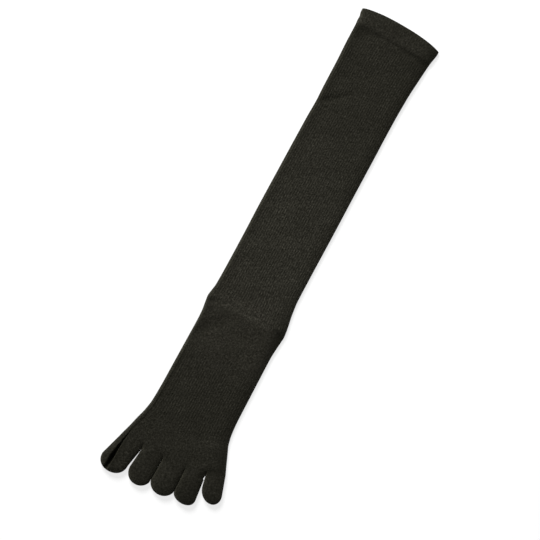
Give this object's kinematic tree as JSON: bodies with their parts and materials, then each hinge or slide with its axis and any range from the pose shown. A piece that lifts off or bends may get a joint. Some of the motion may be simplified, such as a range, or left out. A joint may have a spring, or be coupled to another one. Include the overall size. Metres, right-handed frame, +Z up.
{
  "type": "toe sock",
  "caption": "Knee-high ribbed knit toe sock lying flat, with a turned welt, a plain knit heel and a separate hollow pocket for each toe.",
  "frame": {"origin": "middle of the sock's box, on the surface that it lies on", "axes": "+Y along the sock towards the cuff, +Z up from the surface, +X across the sock from the big toe's side to the little toe's"},
  "size_m": [0.1234, 0.533, 0.0112],
  "materials": {
    "ribbed_knit": "fine vertical rib, matt, slightly fuzzy, warm black",
    "welt_knit": "double turned knit, matt, warm black",
    "plain_knit": "smooth stocking stitch, matt, warm black"
  },
  "bodies": {
    "root": {"cuff": "welt_knit", "leg": "ribbed_knit", "heel": "plain_knit", "foot": "ribbed_knit", "toe_big": "plain_knit", "toe_second": "plain_knit", "toe_middle": "plain_knit", "toe_fourth": "plain_knit", "toe_little": "plain_knit"}
  },
  "joints": []
}
